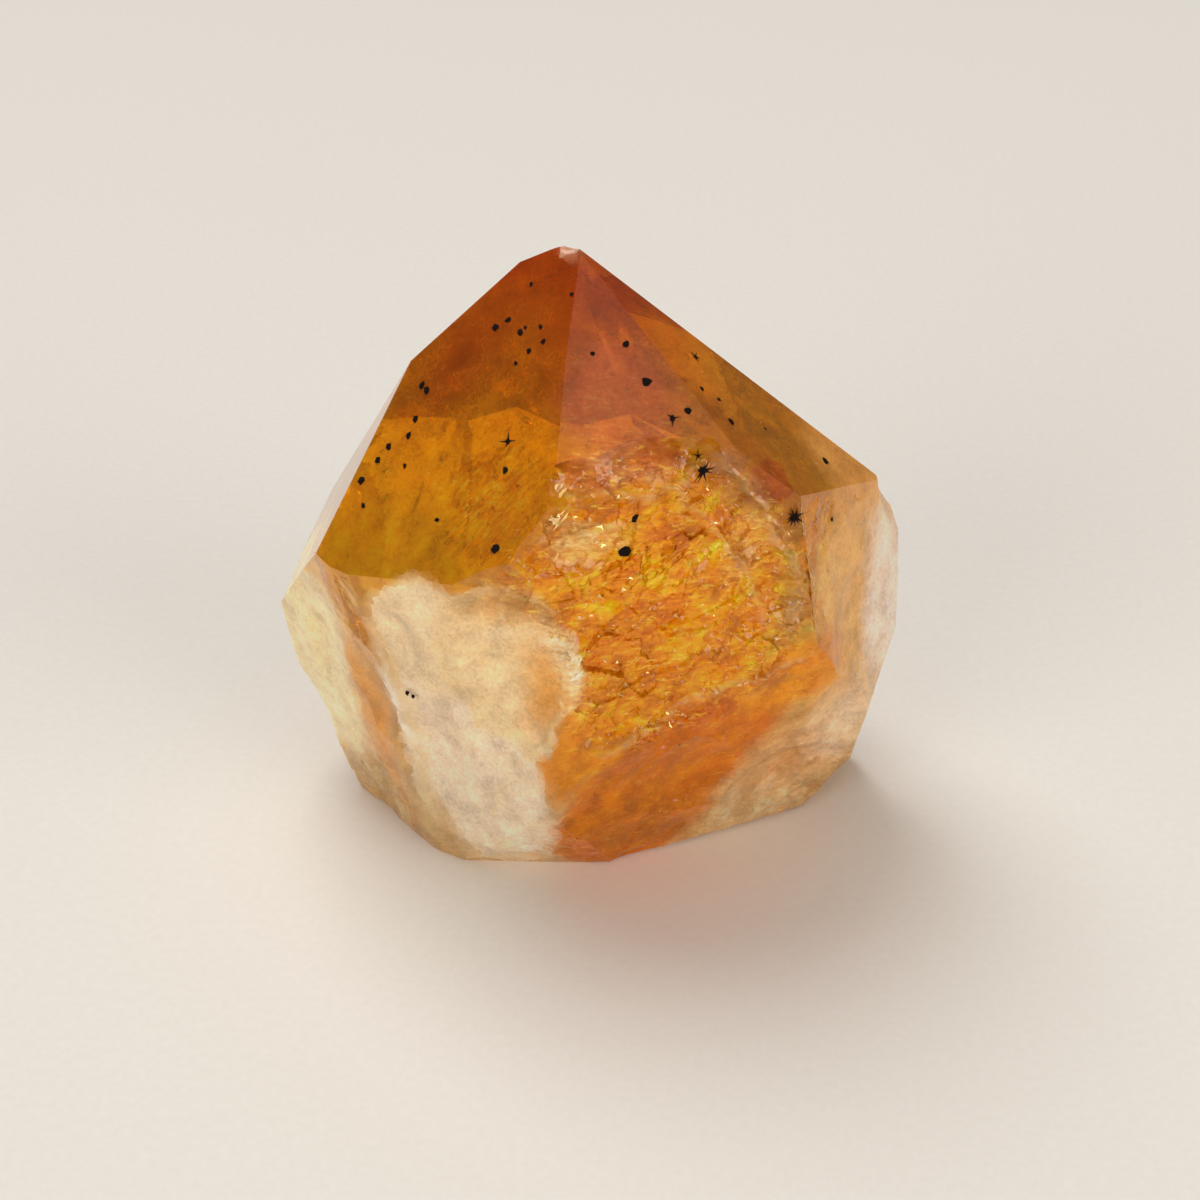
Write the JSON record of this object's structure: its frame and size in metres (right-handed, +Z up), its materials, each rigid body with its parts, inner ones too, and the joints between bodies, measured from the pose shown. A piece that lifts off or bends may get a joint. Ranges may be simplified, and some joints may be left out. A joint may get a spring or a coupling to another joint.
{
  "type": "citrine crystal point",
  "caption": "Upright point of see-through amber quartz with a polished six-sided tip, rough frosted sides and a flat cut base.",
  "frame": {"origin": "middle of the bounding box's underside, on the plane of the flat cut that the crystal rests on", "axes": "+Z up through the tip; -Y towards the broad rough front face, so that the crystal is widest along X and thinnest along Y"},
  "size_m": [0.0646, 0.0486, 0.0643],
  "materials": {
    "citrine": "clear amber quartz, polished on the tip and frosted lower down"
  },
  "bodies": {
    "root": {"citrine_point": "citrine"}
  },
  "joints": []
}
